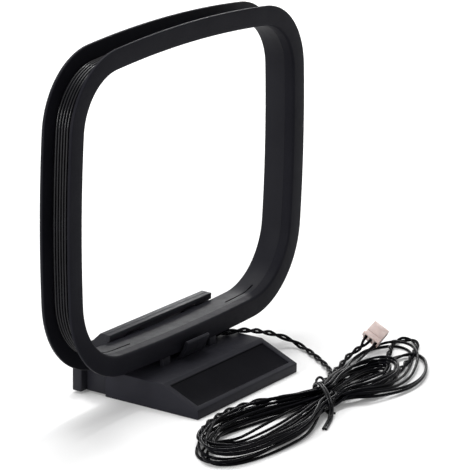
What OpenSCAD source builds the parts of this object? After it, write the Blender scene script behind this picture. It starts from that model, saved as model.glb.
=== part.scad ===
// Indoor AM loop antenna on a folding stand, with its twisted lead tied in a hank.
// X runs along the loop, Y goes from the stand's sloping front to its back plate, Z is up.
// The origin is on the floor, in the middle of the footprint. All sizes are millimetres.

/* [Loop] */
// Width of the loop over its flanges
loop_w = 110; // [90:1:140]
// Height from the loop's widest line up to its top
loop_rise = 45.4; // [38:0.2:60]
// Height from the loop's widest line down to its bottom
loop_drop = 45.8; // [38:0.2:60]
// Radius of the bowed sides
side_r = 358; // [250:2:600]
// Radius of the bowed top
top_r = 385; // [250:5:600]
// Radius of the bowed bottom
foot_r = 770; // [500:10:1200]
// Corner radius at the top
top_corner_r = 21.2; // [16:0.2:30]
// Corner radius at the bottom
foot_corner_r = 24.5; // [18:0.5:32]
// Depth of the loop from its front face to its rear face
loop_d = 9.8; // [8:0.2:14]
// Radial width of the flanges
flange_w = 5.6; // [4.6:0.1:8]
// Thickness of each flange
flange_t = 0.9; // [0.7:0.05:1.4]
// Thickness of the wall that the wire is wound on
wall_t = 0.8; // [0.7:0.05:1.4]
// Depth of the front moulding, up to the seam
front_d = 3; // [2:0.1:4.5]
// Length of the tongue where the two mouldings overlap
lap_l = 1.4; // [0.8:0.1:2.4]
// Gap at the seam between the two mouldings
seam_gap = 0.06; // [0.02:0.01:0.2]
// Rounding of the flanges' outer edges
rim_r = 0.3; // [0.1:0.05:0.4]
// Rounding of the inner front edge
lip_r = 0.7; // [0.2:0.1:0.8]
// Length of each slit near the bottom corners
slit_l = 14; // [6:1:18]
// Width of the slits
slit_w = 0.45; // [0.3:0.05:1]

/* [Winding] */
// Turns of wire in the channel
turns = 8; // [3:1:8]
// Diameter of the wound wire
wire_d = 0.5; // [0.3:0.05:0.5]

/* [Stand] */
// Width of the stand
stand_w = 48.4; // [40:0.4:60]
// Depth of the stand from its front to the back plate's rear face
stand_l = 40; // [37:0.5:46]
// Height of the stand's front lip
lip_h = 2.7; // [1.8:0.1:4]
// Height of the stand's deck
deck_h = 7.7; // [6:0.1:8.6]
// Depth of the sloping front, from the lip to the deck
slope_l = 11.8; // [9:0.2:14]
// Wall of the stand's mouldings
stand_wall = 1.6; // [1.2:0.1:2.2]
// Chamfer on the stand's edges
edge_c = 0.4; // [0.2:0.05:0.6]
// Margin left round the recessed panel
recess_margin = 1.5; // [1:0.1:3]
// Depth of the recessed panel
recess_h = 0.6; // [0.3:0.1:0.8]
// Gap between the deck and the bottom of the loop
deck_gap = 2.3; // [2:0.1:4]

/* [Rear support] */
// Width of the back plate
plate_w = 53; // [46:0.5:64]
// Thickness of the back plate
plate_t = 3.1; // [2:0.1:4]
// Height of the back plate
plate_h = 12.6; // [9:0.2:13]
// Depth of the tower between the stand and the back plate
tower_l = 6.3; // [5:0.1:9]
// Height of the rear support above the floor
rear_lift = 0.6; // [0:0.1:1]
// Fall of the tower's top from the hinge to the back plate
tower_fall = 4.4; // [2:0.2:6]

/* [Hinge] */
// Diameter of the hinge rod
rod_d = 1.8; // [1.4:0.1:2.2]
// Running clearance of the hooks on the rod, on the radius
rod_play = 0.05; // [0.02:0.01:0.1]
// Wall of the hooks
hook_t = 0.8; // [0.6:0.05:1]
// Width of each hook along the rod
hook_w = 5.6; // [4:0.2:8]
// Distance of each hook from the middle
hook_x = 13.5; // [9:0.5:18]
// Side play of each hook in its window
hook_play = 0.2; // [0.1:0.05:0.4]
// Height of the rod above the loop's inner surface
rod_rise = 1.1; // [1:0.05:1.5]
// Distance of the rod behind the loop's rear face
rod_back = 1.1; // [1:0.05:1.5]

/* [Catch] */
// Width of the front catch
catch_w = 10.5; // [6:0.5:16]
// Thickness of the front catch
catch_t = 1; // [0.8:0.1:1.4]
// Height of the catch above the bottom of the loop
catch_rise = 3.3; // [2:0.1:4]
// Gap between the catch and the swing of the loop's front edge
catch_gap = 0.15; // [0.1:0.05:0.4]

/* [Lead] */
// Diameter over the two twisted wires
lead_d = 1.5; // [1:0.1:1.5]
// Loops that wind in on the upper layer of the hank
hank_in = 3; // [2:1:3]
// Step between the hank's loops
hank_step = 2.05; // [2.05:0.05:2.4]
// Thickness of the wire tie
tie_d = 0.8; // [0.5:0.1:1]
// Width of the wire tie
tie_w = 1.6; // [1:0.1:2.4]

/* [Plug] */
// Width of the plug
plug_w = 5; // [4.9:0.1:8]
// Length of the plug
plug_l = 5.6; // [5:0.1:10]
// Thickness of the plug
plug_t = 2.8; // [2.6:0.1:6]
// Distance from one contact to the next
contact_pitch = 1.65; // [1.2:0.05:1.65]

/* [Hidden] */

front_y = -stand_l / 2;
rear_y = stand_l / 2;
plate_y = rear_y - plate_t;
tower_y = plate_y - tower_l;
slope_y = front_y + slope_l;
slope_a = atan2(deck_h - lip_h, slope_l);
slope_len = norm([slope_l, deck_h - lip_h]);
stand_hw = stand_w / 2;
tower_hw = stand_hw - 0.2;

rod_r = rod_d / 2;
rod_y = tower_y - 0.5;
loop_rear = rod_y - rod_back;
loop_front = loop_rear - loop_d;
loop_bottom = deck_h + deck_gap;
loop_z = loop_bottom + loop_drop;
rod_z = loop_bottom + flange_w + rod_rise;
tower_top = rod_z + rod_r + 0.1;

half_w = loop_w / 2;
channel_in = flange_w - wall_t;
lap_in = flange_w - wall_t / 2;

function corner_centre(rise, cap_r, corner_r) =
    let (c1 = [half_w - side_r, 0], c2 = [0, rise - cap_r],
        d1 = side_r - corner_r, d2 = cap_r - corner_r,
        gap = norm(c2 - c1), e = (c2 - c1) / gap,
        m = (gap * gap + d1 * d1 - d2 * d2) / (2 * gap), h = sqrt(d1 * d1 - m * m))
    c1 + e * m + [-e[1], e[0]] * h;

top_k = corner_centre(loop_rise, top_r, top_corner_r);
foot_k = corner_centre(loop_drop, foot_r, foot_corner_r);
top_a1 = atan2(top_k[1], top_k[0] - half_w + side_r);
top_a2 = atan2(top_k[1] - loop_rise + top_r, top_k[0]);
foot_a1 = atan2(foot_k[1], foot_k[0] - half_w + side_r);
foot_a2 = atan2(foot_k[1] - loop_drop + foot_r, foot_k[0]);

// Outline of the loop as arcs: centre x, centre z, radius, first angle, last angle, wire stations.
LOOP_ARCS = [
    [0, foot_r - loop_drop, foot_r, 270, 360 - foot_a2, 1],
    [foot_k[0], -foot_k[1], foot_corner_r, 360 - foot_a2, 360 - foot_a1, 4],
    [half_w - side_r, 0, side_r, 360 - foot_a1, 360 + top_a1, 2],
    [top_k[0], top_k[1], top_corner_r, top_a1, top_a2, 4],
    [0, loop_rise - top_r, top_r, top_a2, 180 - top_a2, 2],
    [-top_k[0], top_k[1], top_corner_r, 180 - top_a2, 180 - top_a1, 4],
    [side_r - half_w, 0, side_r, 180 - top_a1, 180 + foot_a1, 2],
    [-foot_k[0], -foot_k[1], foot_corner_r, 180 + foot_a1, 180 + foot_a2, 4],
    [0, foot_r - loop_drop, foot_r, 180 + foot_a2, 270, 1]];

function arc_points(x, y, r, from, to, steps) =
    [for (i = [0:steps]) let (a = from + (to - from) * i / steps) [x + r * cos(a), y + r * sin(a)]];

function chamfered(points, c) = [for (i = [0:len(points) - 1])
    let (p = points[i], a = points[(i + len(points) - 1) % len(points)], b = points[(i + 1) % len(points)])
    each [p + (a - p) * c / norm(a - p), p + (b - p) * c / norm(b - p)]];

function unit(v) = v / norm(v);

// The direction of a path at each of its points, half way between its two neighbours' directions.
function tangents(path) =
    let (legs = [for (i = [0:len(path) - 2]) unit(path[i + 1] - path[i])], last = len(legs) - 1)
    [for (i = [0:len(legs)]) unit(legs[max(i - 1, 0)] + legs[min(i, last)])];

// One closed tube along a path: rings of equal size, and a flat cap on each end.
module tube(path, d, sides, side_axis) {
    t = tangents(path);
    rings = [for (i = [0:len(path) - 1])
        let (u = unit(cross(side_axis, t[i])), v = cross(t[i], u))
        for (j = [0:sides - 1]) path[i] + d / 2 * (cos(360 * j / sides) * u + sin(360 * j / sides) * v)];
    last = (len(path) - 1) * sides;
    walls = [for (i = [0:len(path) - 2], j = [0:sides - 1])
        let (a = i * sides + j, b = i * sides + (j + 1) % sides)
        each [[a, a + sides, b + sides], [a, b + sides, b]]];
    caps = [for (j = [1:sides - 2]) each [[0, j, j + 1], [last, last + j + 1, last + j]]];
    polyhedron(points = rings, faces = concat(walls, caps), convexity = 10);
}

// Least distance from a tube to its own other turns, taken at its rings and half way between them.
function own_gap(path, d, apart) =
    let (p = [for (i = [0:len(path) - 2]) each [path[i], (path[i] + path[i + 1]) / 2]])
    min([for (i = [0:len(p) - 1]) for (j = [i + 2 * apart:1:len(p) - 1]) norm(p[i] - p[j])]) - d;

function along(points) = len(points) < 2 ? 0
    : norm(points[1] - points[0]) + along([for (i = [1:len(points) - 1]) points[i]]);

// A smooth curve through hand-chosen points, with a few rings between each pair of them.
function smooth(points, steps) = [for (i = [0:len(points) - 2], s = [0:steps - 1])
        let (a = points[max(i - 1, 0)], b = points[i], c = points[i + 1],
            e = points[min(i + 2, len(points) - 1)], k = s / steps)
        0.5 * (2 * b + (c - a) * k + (2 * a - 5 * b + 4 * c - e) * k * k
            + (3 * b - a - 3 * c + e) * k * k * k)];

// Solids drawn in the Y-Z plane and as wide as w along X.
module across(w) rotate([90, 0, 90]) translate([0, 0, -w / 2]) linear_extrude(w) children();

// Places round the loop's outline, as many to each arc as its wire stations times a number.
function outline(times) = [for (a = LOOP_ARCS, i = [0:a[5] * times - 1])
    [a[0], a[1], a[2], a[3] + (a[4] - a[3]) * i / (a[5] * times)]];

function ring_point(place, inset) = [place[0] + (place[2] - inset) * cos(place[3]),
    place[1] + (place[2] - inset) * sin(place[3])];

// A section of inset and depth, lofted round the loop's outline.
module round_loop(section) {
    places = outline(3);
    n = len(section);
    m = len(places);
    points = [for (place = places, p = section) let (q = ring_point(place, p[0]))
        [q[0], loop_front + p[1], loop_z + q[1]]];
    walls = [for (i = [0:m - 1], j = [0:n - 1])
        let (a = i * n, b = (i + 1) % m * n, next = (j + 1) % n)
        each [[a + j, a + next, b + next], [a + j, b + next, b + j]]];
    polyhedron(points = points, faces = walls, convexity = 10);
}

module front_frame() color("#242428") round_loop(concat(
    arc_points(rim_r, rim_r, rim_r, 180, 270, 2),
    arc_points(flange_w - lip_r, lip_r, lip_r, 270, 360, 3),
    [[flange_w, front_d], [lap_in, front_d], [lap_in, front_d + lap_l], [channel_in, front_d + lap_l],
        [channel_in, flange_t], [rim_r / 2, flange_t], [0, flange_t - rim_r / 2]]));

module rear_frame() color("#222226") {
    difference() {
        round_loop(concat(
            arc_points(flange_w - rim_r, loop_d - rim_r, rim_r, 0, 90, 2),
            arc_points(rim_r, loop_d - rim_r, rim_r, 90, 180, 2),
            [[0, loop_d - flange_t + rim_r / 2], [rim_r / 2, loop_d - flange_t],
                [channel_in, loop_d - flange_t], [channel_in, front_d + lap_l + seam_gap],
                [lap_in + seam_gap, front_d + lap_l + seam_gap], [lap_in + seam_gap, front_d + seam_gap],
                [flange_w, front_d + seam_gap]]));
        slit_y = loop_front + (front_d + loop_d) / 2 - 0.8;
        for (side = [-1, 1])
            translate([side * (hook_x + hook_w + 12) - slit_l / 2, slit_y, loop_bottom + channel_in / 2])
                cube([slit_l, slit_w, 2 * flange_w]);
    }
    for (side = [-1, 1]) translate([side * hook_x, 0, 0]) across(hook_w) hinge_hook();
}

// The hook reaches back from the rear flange, under the rod and up behind it.
module hinge_hook() {
    bore_r = rod_r + rod_play;
    difference() {
        union() {
            intersection() {
                translate([rod_y, rod_z]) circle(bore_r + hook_t, $fn = 72);
                translate([rod_y, rod_z - 3]) square([3, 3 + rod_r / 2]);
            }
            translate([loop_rear - 0.3, rod_z - bore_r - hook_t - 0.6])
                square([rod_y - loop_rear + 0.3, hook_t + 0.5]);
        }
        translate([rod_y, rod_z]) circle(bore_r, $fn = 72);
    }
}

// The wire's place on the loop: x, depth and inset from the outline, near the bottom.
function low_point(x, depth, inset) = [x, loop_front + depth,
    loop_z + foot_r - loop_drop - sqrt(pow(foot_r - inset, 2) - x * x)];

// The wire runs straight between its stations, so it sits clear of the wall by the deepest chord.
wire_sag = max([for (a = LOOP_ARCS) a[2] * (1 - cos((a[4] - a[3]) / a[5] / 2))]);
wire_in = channel_in - wire_d / 2 - wire_sag - 0.07;
wire_first = flange_t + wire_d / 2 + 0.08;
wire_pitch = (loop_d - 2 * flange_t - wire_d - 0.16) / 8;
wire_places = outline(1);
wire_last = wire_first + wire_pitch * turns;
wire_mid = loop_d / 2;
wire_path = concat(
    [low_point(-14, wire_mid - 0.6, 0.5), low_point(-14, wire_mid - 0.6, 1.5),
        low_point(-13, wire_mid - 1.4, 2.6), low_point(-9, wire_first, 2.9),
        low_point(-5, wire_first, wire_in)],
    [for (i = [0:24 * turns - 1]) let (q = ring_point(wire_places[i % 24], wire_in))
        [q[0], loop_front + wire_first + wire_pitch * i / 24, loop_z + q[1]]],
    [low_point(-24, wire_last, wire_in), low_point(-20, wire_last, 2.9),
        low_point(-16.5, wire_last - 1.2, 2.6), low_point(-12.4, wire_mid + 0.6, 1.5),
        low_point(-12.4, wire_mid + 0.6, 0.5)]);

module loop_winding() {
    echo(winding_least_gap = own_gap(wire_path, wire_d, 8), winding_length = along(wire_path));
    color("#17171c") tube(wire_path, wire_d, 6, [0, 1, 0]);
}

SHELL = [[front_y, 0], [front_y, lip_h], [slope_y, deck_h], [tower_y, deck_h], [tower_y, 0]];
inner_drop = stand_wall / cos(slope_a);
HOLLOW = [[front_y + stand_wall, -1],
    [front_y + stand_wall, lip_h + stand_wall * tan(slope_a) - inner_drop],
    [slope_y + stand_wall * tan(slope_a / 2), deck_h - stand_wall],
    [tower_y - stand_wall, deck_h - stand_wall], [tower_y - stand_wall, -1]];
tongue_w = 8;
tongue_t = 2;

module stand_shell() color("#26262b") {
    difference() {
        hull() {
            across(stand_w - 2 * edge_c) polygon(chamfered(SHELL, edge_c));
            across(stand_w) offset(delta = -edge_c) polygon(SHELL);
        }
        across(stand_w - 2 * stand_wall) polygon(HOLLOW);
        translate([0, front_y, lip_h]) rotate([slope_a, 0, 0])
            translate([-stand_hw + recess_margin + edge_c, recess_margin, -recess_h])
                cube([stand_w - 2 * (recess_margin + edge_c), slope_len - 2 * recess_margin, 2]);
        for (side = [-1, 1]) tongue(side, 0.1, tongue_t + 0.2);
    }
    difference() {
        for (x = [-stand_w / 8, stand_w / 8]) translate([x, 0, 0]) across(1.2) polygon(HOLLOW);
        translate([-stand_hw, front_y, -2]) cube([stand_w, stand_l, 3]);
    }
    rest_x = 11;
    rest_z = loop_bottom + rest_x * rest_x / (2 * foot_r) - 0.1;
    for (side = [-1, 1], y = [loop_front + 0.25, loop_rear - 1.65])
        translate([side * rest_x - 1.5, y, deck_h - 0.2]) cube([3, 1.4, rest_z - deck_h + 0.2]);
    across(catch_w) catch_profile();
}

// The catch is struck about the hinge, so the loop's front edge swings past it.
module catch_profile() {
    swing_r = norm([rod_y - loop_front, rod_z - loop_bottom]) + catch_gap;
    top_z = loop_bottom + catch_rise - catch_t / 2;
    intersection() {
        translate([rod_y, rod_z]) difference() {
            circle(swing_r + catch_t, $fn = 180);
            circle(swing_r, $fn = 180);
        }
        translate([rod_y - 2 * swing_r, deck_h - 0.2]) square([2 * swing_r, top_z - deck_h + 0.2]);
    }
    mid_r = swing_r + catch_t / 2;
    translate([rod_y - sqrt(mid_r * mid_r - pow(rod_z - top_z, 2)), top_z])
        circle(catch_t / 2, $fn = 32);
}

// A tongue of the rear support that plugs into the stand's rear wall.
module tongue(side, play, from) {
    translate([side * stand_w / 4 - tongue_w / 2 - play, tower_y - stand_wall - 2.4 - play, 2 - play])
        cube([tongue_w + 2 * play, stand_wall + 2.4 + play + from, tongue_t + 2 * play]);
}

module rear_support() color("#242429") {
    window_w = hook_w + 2 * hook_play;
    difference() {
        union() {
            across(2 * tower_hw) polygon([[tower_y, rear_lift], [tower_y, tower_top],
                [tower_y + 0.5, tower_top], [plate_y, tower_top - tower_fall], [plate_y, rear_lift]]);
            across(2 * tower_hw) polygon([[rod_y - 0.55, rod_z - 0.7], [tower_y + 0.1, rod_z - 2.4],
                [tower_y + 0.1, rod_z]]);
            translate([0, (plate_y + rear_y) / 2, rear_lift]) linear_extrude(plate_h - rear_lift)
                polygon(chamfered([[-plate_w / 2, -plate_t / 2], [plate_w / 2, -plate_t / 2],
                    [plate_w / 2, plate_t / 2], [-plate_w / 2, plate_t / 2]], edge_c));
        }
        across(2 * (tower_hw - stand_wall)) polygon([[tower_y + stand_wall, -1],
            [tower_y + stand_wall, tower_top - 2.2], [plate_y - 0.4, tower_top - tower_fall - 2.2],
            [plate_y - 0.4, -1]]);
        for (side = [-1, 1]) translate([side * hook_x - window_w / 2, rod_y - 3, rod_z - 2.2])
            cube([window_w, 5.1, 5]);
    }
    translate([-tower_hw - 0.1, rod_y, rod_z]) rotate([0, 90, 0])
        cylinder(h = 2 * tower_hw + 0.2, r = rod_r, $fn = 72);
    for (side = [-1, 1]) tongue(side, 0, 0.2);
}

// Cord on the floor and over the stand. The free points are chosen by hand.
floor_z = lead_d / 2 + 0.05;
BRIDGE = [[-13.2, 4.1, loop_bottom + 0.5], [-13.2, 4.1, loop_bottom - 0.6], [-12.2, 4.1, deck_h + 1],
    [-9, 4.1, deck_h + 0.8], [-2, 4.4, deck_h + 0.8], [6, 4.4, deck_h + 0.8], [12, 3.6, deck_h + 0.8],
    [17, 2.2, deck_h + 0.8], [18.5, 1.7, deck_h + 0.8]];
RUN = [[18.5, 1.7, deck_h + 0.8], [20, 1.2, deck_h + 0.8], [23.8, -0.8, deck_h + 0.8],
    [28, -2, 7.6], [32.5, -2.8, 6.2], [36.5, -4, 4.7], [39.5, -5.8, 3.2], [41.5, -8, 1.7],
    [41, -11, 0.9], [38.8, -15, 0.8], [35, -20.4, 0.8], [31, -25.4, 1.1], [26, -29.2, 3],
    [20, -33, 5], [14, -39, 5.7], [9, -45, 5.6], [5, -48, 4.6]];
TAIL = [[16, -31.6, 1], [26, -30, 0.8], [36, -29.4, 0.9]];

// The hank, in its own frame: its middle, its turn, and the runs that a tie draws in.
hank_at = [3, -40.8];
hank_turn = -5;
left_x = 43;
right_x = 44;
left_r = 12.4;
right_r = 10.6;
right_step = 4.2;
waist = 1.05 + hank_in * hank_step;

function hank_flat(u, inset) =
    let (s = inset * hank_step, l = left_r - s, r = right_r - s, v = waist - s, x = right_x - inset * right_step)
    u <= 0 ? [0, -v] : u < 2 ? [-left_x / 2, -(v + l) / 2]
    : u <= 10 ? [-left_x, 0] + l * [cos(-90 - 22.5 * (u - 2)), sin(-90 - 22.5 * (u - 2))]
    : u < 12 ? [-left_x / 2, (v + l) / 2] : u == 12 ? [0, v] : u < 14 ? [x / 2, (v + r) / 2]
    : u <= 22 ? [x, 0] + r * [cos(90 - 22.5 * (u - 14)), sin(90 - 22.5 * (u - 14))]
    : [x / 2, -(v + r) / 2];

function placed(p, z) = [hank_at[0] + p[0] * cos(hank_turn) - p[1] * sin(hank_turn),
    hank_at[1] + p[0] * sin(hank_turn) + p[1] * cos(hank_turn), z];

function hank_lift(u) = (tie_d + 0.15) * (u % 12 == 0 ? 1 : min(u % 12, 12 - u % 12) == 1 ? 0.6 : 0);

hank_last = 24 * (2 * hank_in) + 12;
HANK = [for (i = [0:hank_last])
    let (u = i % 24, turn = i / 24, inset = turn <= hank_in ? turn : 2 * hank_in - turn,
        k = min(max((i - 24 * hank_in + 2) / 4, 0), 1))
    placed(hank_flat(u, inset), floor_z + hank_step * (1 - k) + hank_lift(u))];
hank_start = HANK[0] + 1.6 * unit(HANK[0] - HANK[1]);
hank_end = HANK[hank_last] + 1.6 * unit([cos(hank_turn) - 0.05, sin(hank_turn), 0]);
hank_path = concat([hank_start], HANK, [hank_end]);

module lead_hank() {
    echo(hank_least_gap = own_gap(hank_path, lead_d, 8), hank_length = along(hank_path));
    color("#17171c") tube(hank_path, lead_d, 6, [0, 0, 1]);
}

module lead_bridge() color("#17171c") tube(smooth(BRIDGE, 2), lead_d, 8, [0, 1, 0]);

module lead_run() {
    path = concat(smooth(concat(RUN, [hank_start]), 2), [hank_start]);
    echo(run_length = along(path));
    color("#17171c") tube(path, lead_d, 8, [0, 0, 1]);
}

// The plug lies rolled on one edge, with its nose raised on the loose loops.
plug_at = [50.6, -27.7, 3.8];
plug_yaw = -7;
plug_pitch = 28;
plug_roll = 34;
plug_dir = [cos(plug_pitch) * cos(plug_yaw), cos(plug_pitch) * sin(plug_yaw), sin(plug_pitch)];

module at_plug() translate(plug_at) rotate([0, 0, plug_yaw]) rotate([0, -plug_pitch, 0])
    rotate([plug_roll, 0, 0]) children();

module lead_tail() {
    path = concat(smooth(concat([hank_end], TAIL, [plug_at - 5.4 * plug_dir, plug_at - 1.6 * plug_dir]), 3),
        [plug_at - 1.6 * plug_dir, plug_at]);
    echo(tail_length = along(path));
    color("#17171c") tube(path, lead_d, 8, [0, 0, 1]);
}

contact_w = 0.8;
cavity_w = contact_w + 0.2;
cavity_h = 1.7;

// The housing has a cavity for each contact, a window under it and a step along its upper rear edge.
module plug_housing() color("#d6c8c4") at_plug() difference() {
    translate([0, -plug_w / 2, -plug_t / 2]) cube([plug_l, plug_w, plug_t]);
    for (place = [-1, 0, 1]) translate([0, place * contact_pitch, 0]) {
        translate([-1, -cavity_w / 2, -cavity_h / 2]) cube([plug_l + 2, cavity_w, cavity_h]);
        translate([plug_l * 0.3, -cavity_w / 2, -plug_t]) cube([plug_l * 0.35, cavity_w, plug_t]);
    }
    translate([plug_l - 0.9, -plug_w, plug_t / 2 - 0.25]) cube([1, 2 * plug_w, 1]);
}

module plug_contacts() color("#b9a46a") at_plug() for (place = [-1, 0, 1])
    translate([0.7, place * contact_pitch - contact_w / 2, -cavity_h / 2 + 0.05])
        difference() {
            cube([plug_l - 1.2, contact_w, cavity_h - 0.1]);
            translate([1.6, 0.2, 0.25]) cube([plug_l, contact_w - 0.4, cavity_h - 0.6]);
        }

// The tie goes once round the waist and lies on the floor below it.
tie_x = 3.5;

module hank_tie() {
    low = floor_z + tie_d + 0.15 - lead_d / 2 - 0.13;
    high = low + hank_step + lead_d + 0.2;
    outer = waist + hank_step / 2;
    half = outer + (left_r + hank_step / 2 - outer) * tie_x / left_x + lead_d / 2 + 0.2;
    color("#15151a") translate([hank_at[0], hank_at[1], 0]) rotate([0, 0, hank_turn])
        translate([-tie_x, 0, 0]) across(tie_w) difference() {
            rounded_box(-half - tie_d, half + tie_d, low - tie_d, high + tie_d, 1.4);
            rounded_box(-half, half, low, high, 0.6);
        }
}

module rounded_box(y0, y1, z0, z1, r) {
    translate([y0 + r, z0]) square([y1 - y0 - 2 * r, z1 - z0]);
    translate([y0, z0 + r]) square([y1 - y0, z1 - z0 - 2 * r]);
    for (y = [y0 + r, y1 - r], z = [z0 + r, z1 - r]) translate([y, z]) circle(r, $fn = 32);
}

stand_shell();
rear_support();
front_frame();
rear_frame();
loop_winding();
lead_bridge();
lead_run();
lead_hank();
lead_tail();
hank_tie();
plug_housing();
plug_contacts();
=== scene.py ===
import math

import bmesh
import bpy
import numpy as np
from mathutils import Matrix, Vector, kdtree


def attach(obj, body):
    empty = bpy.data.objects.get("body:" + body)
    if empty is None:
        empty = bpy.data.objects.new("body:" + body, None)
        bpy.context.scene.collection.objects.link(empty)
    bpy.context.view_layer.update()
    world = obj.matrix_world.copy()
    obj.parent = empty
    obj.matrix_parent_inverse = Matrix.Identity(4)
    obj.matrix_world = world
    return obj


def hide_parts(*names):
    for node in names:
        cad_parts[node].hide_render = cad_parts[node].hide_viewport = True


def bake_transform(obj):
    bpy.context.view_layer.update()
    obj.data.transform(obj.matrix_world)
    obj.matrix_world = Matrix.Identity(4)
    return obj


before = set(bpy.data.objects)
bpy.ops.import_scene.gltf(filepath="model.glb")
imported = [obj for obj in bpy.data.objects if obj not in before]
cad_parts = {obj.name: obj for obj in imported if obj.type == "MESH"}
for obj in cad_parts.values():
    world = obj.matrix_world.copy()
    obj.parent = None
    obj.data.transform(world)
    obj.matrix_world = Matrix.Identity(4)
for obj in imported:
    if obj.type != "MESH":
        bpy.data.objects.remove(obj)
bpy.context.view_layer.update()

mm = 0.001
tiny = 1e-6                          # keeps a division from meeting zero

# camera, at the photograph's angle

view = {
    "azimuth": -56.258,              # degrees round Z, 0 looks along +Y
    "elevation": 16.469,
    "roll": 1.119,
    "distance": 763.9,               # from the target, mm
    "target": (20.508, -0.8, 37.225),
    "lens": 210.95,
    "picture": 36,                   # the square picture's width, mm
}


def placeCamera():
    az = math.radians(view["azimuth"])
    el = math.radians(view["elevation"])
    roll = math.radians(view["roll"])
    back = Vector((math.sin(az) * math.cos(el), -math.cos(az) * math.cos(el), math.sin(el)))
    level = Vector((math.cos(az), math.sin(az), 0))
    upright = back.cross(level)
    right = level * math.cos(roll) + upright * math.sin(roll)
    up = upright * math.cos(roll) - level * math.sin(roll)
    camData = bpy.data.cameras.new("camera")
    camData.lens = view["lens"]
    camData.sensor_width = view["picture"]
    camera = bpy.data.objects.new("camera", camData)
    turn = Matrix((right, up, back)).transposed().to_4x4()
    place = (Vector(view["target"]) + back * view["distance"]) * mm
    camera.matrix_world = Matrix.Translation(place) @ turn
    bpy.context.scene.collection.objects.link(camera)
    bpy.context.scene.camera = camera


placeCamera()
print("camera placed")

# small helpers


def hexColour(code):                 # sRGB hex to the linear colour that a socket takes
    parts = [int(code[i:i + 2], 16) / 255 for i in (1, 3, 5)]
    return [c / 12.92 if c <= 0.04045 else ((c + 0.055) / 1.055) ** 2.4 for c in parts] + [1]


def addNode(tree, kind, settings=None, inputs=None, stops=None):
    node = tree.nodes.new(kind)
    for key, value in (settings or {}).items():
        setattr(node, key, value)
    for key, value in (inputs or {}).items():
        if isinstance(value, bpy.types.NodeSocket):
            tree.links.new(value, node.inputs[key])
        else:
            node.inputs[key].default_value = value
    for place, (position, code) in enumerate(stops or []):   # a colour ramp's positions and hex colours
        element = node.color_ramp.elements[place]
        element.position, element.color = position, hexColour(code)
    return node


def newMaterial(name):
    material = bpy.data.materials.new(name)
    material.use_nodes = True
    material.node_tree.nodes.clear()
    return material, material.node_tree


def smoothByAngle(obj, degrees):     # smooth faces, with creases where the surface turns sharply
    bm = bmesh.new()
    bm.from_mesh(obj.data)
    for face in bm.faces:
        face.smooth = True
    for edge in bm.edges:
        if len(edge.link_faces) == 2:
            edge.smooth = edge.calc_face_angle(0) < math.radians(degrees)
    bm.to_mesh(obj.data)
    bm.free()


def meshPiece(name, points, faces, material, crease=40):
    mesh = bpy.data.meshes.new(name)
    mesh.from_pydata([tuple(c * mm for c in p) for p in points], [], faces)
    mesh.update()
    obj = bpy.data.objects.new(name, mesh)
    bpy.context.scene.collection.objects.link(obj)
    bm = bmesh.new()
    bm.from_mesh(mesh)
    bmesh.ops.recalc_face_normals(bm, faces=bm.faces)
    bm.to_mesh(mesh)
    bm.free()
    obj.data.materials.append(material)
    smoothByAngle(obj, crease)
    return obj


def joinParts(parts):                # lists of (points, faces) into one
    points, faces = [], []
    for somePoints, someFaces in parts:
        first = len(points)
        points += [tuple(p) for p in somePoints]
        faces += [[i + first for i in face] for face in someFaces]
    return points, faces


def unitRows(rows):                  # each row made one long
    return rows / np.linalg.norm(rows, axis=1)[:, None]


def tubeMesh(route, radius, sides):  # a round bar with closed ends
    route = np.asarray(route, float)
    steps = unitRows(np.diff(route, axis=0))
    heading = unitRows(np.vstack([steps[:1], steps[:-1] + steps[1:], steps[-1:]]))
    side = np.cross(heading[0], (0.3, 0.2, 1.0))     # any way that no route here starts along
    side /= np.linalg.norm(side)
    angles = np.arange(sides) * 2 * math.pi / sides
    points = []
    for place, ahead in zip(route, heading):
        side = side - ahead * np.dot(side, ahead)    # carried along with no twist of its own
        side /= np.linalg.norm(side)
        other = np.cross(ahead, side)
        ring = place + radius * (np.cos(angles)[:, None] * side + np.sin(angles)[:, None] * other)
        points += [tuple(p) for p in ring]
    faces = []
    for i in range(len(route) - 1):
        for j in range(sides):
            a, b = i * sides + j, i * sides + (j + 1) % sides
            faces.append((a, b, b + sides, a + sides))
    last = (len(route) - 1) * sides
    faces.append(tuple(range(sides))[::-1])
    faces.append(tuple(range(last, last + sides)))
    return points, faces


def curveThrough(points, step):      # even steps along a smooth curve through given points
    p = np.asarray(points, float)
    p = np.vstack([2 * p[0] - p[1], p, 2 * p[-1] - p[-2]])
    fine = []
    for i in range(1, len(p) - 2):
        a, b, c, d = p[i - 1:i + 3]
        for k in np.linspace(0, 1, 24, endpoint=False):
            fine.append(0.5 * (2 * b + (c - a) * k + (2 * a - 5 * b + 4 * c - d) * k * k
                               + (3 * b - a - 3 * c + d) * k ** 3))
    fine.append(p[-2])
    return evenSteps(np.array(fine), step)


def evenSteps(fine, step):           # a fourth value, where there is one, is carried along
    along = np.concatenate([[0], np.cumsum(np.linalg.norm(np.diff(fine[:, :3], axis=0), axis=1))])
    marks = np.linspace(0, along[-1], max(2, int(round(along[-1] / step))))
    return np.column_stack([np.interp(marks, along, fine[:, k]) for k in range(fine.shape[1])])


def lengthOf(route):
    return float(np.linalg.norm(np.diff(route[:, :3], axis=0), axis=1).sum())


def distancesAlong(route):           # of a route's evenly spaced points, from its start
    count = len(route)
    return np.arange(count) * lengthOf(route) / (count - 1)


# materials


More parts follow.
